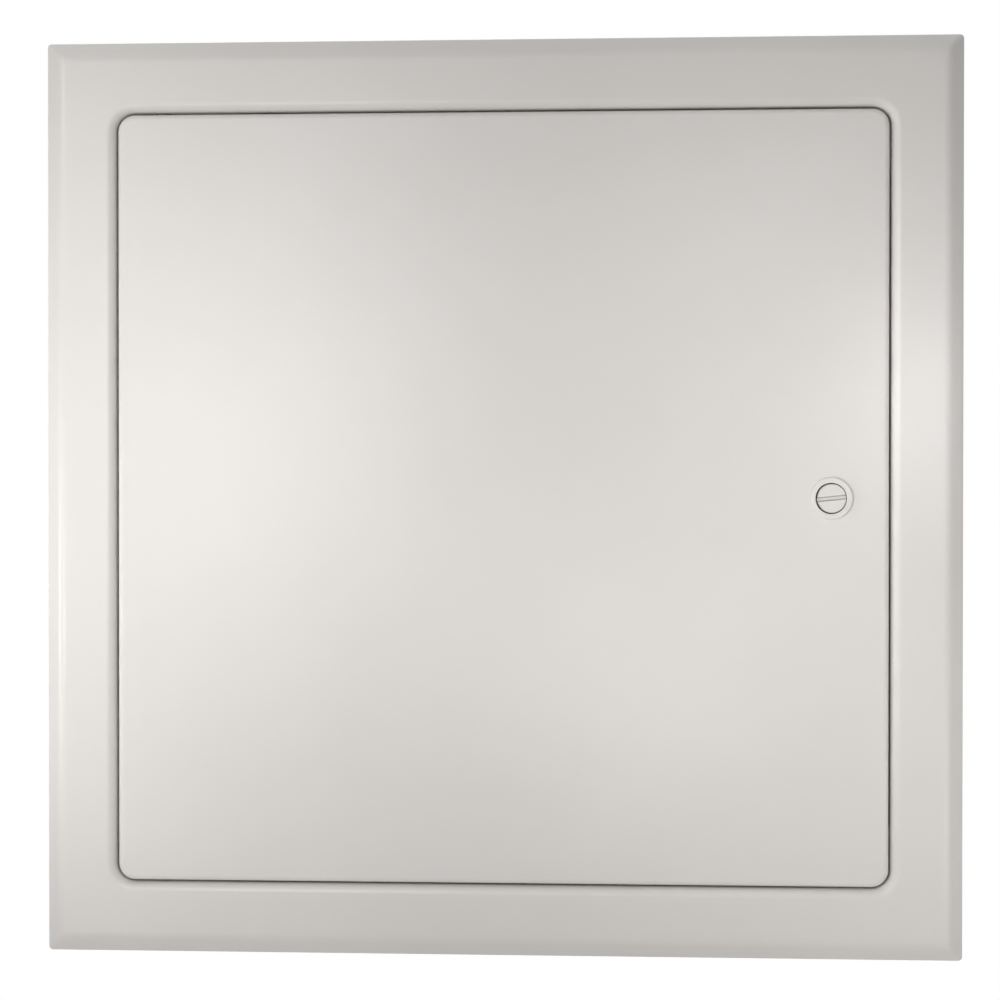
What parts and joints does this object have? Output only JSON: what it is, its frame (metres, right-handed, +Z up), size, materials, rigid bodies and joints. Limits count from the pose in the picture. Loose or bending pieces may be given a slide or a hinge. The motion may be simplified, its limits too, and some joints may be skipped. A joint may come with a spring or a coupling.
{
  "type": "flush access panel",
  "caption": "Square flush access panel: pressed steel flange on a mounting neck, pan door on a concealed rod hinge, and a screwdriver-operated cam latch.",
  "frame": {"origin": "centre of the clear opening, on the wall plane that the flange's rim rests against", "axes": "+X to the latch side, +Y into the wall, +Z up; the panel's face looks along -Y"},
  "size_m": [0.3556, 0.0395, 0.3556],
  "materials": {
    "frame_paint": "satin white powder coat on sheet steel",
    "door_paint": "satin white powder coat on sheet steel",
    "latch_paint": "satin white powder coat on turned steel",
    "zinc_plate": "bright zinc plate on steel",
    "spring_steel": "phosphated spring steel",
    "nylon": "grey nylon"
  },
  "bodies": {
    "frame": {"flange": "frame_paint", "neck_top": "frame_paint", "neck_bottom": "frame_paint", "neck_hinge_side": "frame_paint", "neck_latch_side": "frame_paint", "door_stop_top": "frame_paint", "door_stop_bottom": "frame_paint", "strike_angle": "frame_paint", "hinge_rod": "zinc_plate", "rod_clips": "spring_steel", "hinge_washers": "nylon"},
    "door": {"door_panel": "door_paint", "latch_housing": "latch_paint", "latch_tooth_washer": "zinc_plate", "latch_nut": "zinc_plate"},
    "latch": {"latch_rotor": "latch_paint", "latch_spring_washer": "spring_steel", "latch_cam": "zinc_plate", "cam_washer": "zinc_plate", "cam_screw": "zinc_plate"}
  },
  "joints": [
    {"name": "door_swing", "type": "hinge", "parent": "frame", "child": "door", "pos_m": [-0.1321, 0.0001, 0], "axis": [0, 0, -1], "range_deg": [0, 130]},
    {"name": "cam_turn", "type": "hinge", "parent": "door", "child": "latch", "pos_m": [0.1271, 0, 0], "axis": [0, -1, 0], "range_deg": [-6, 84]}
  ]
}
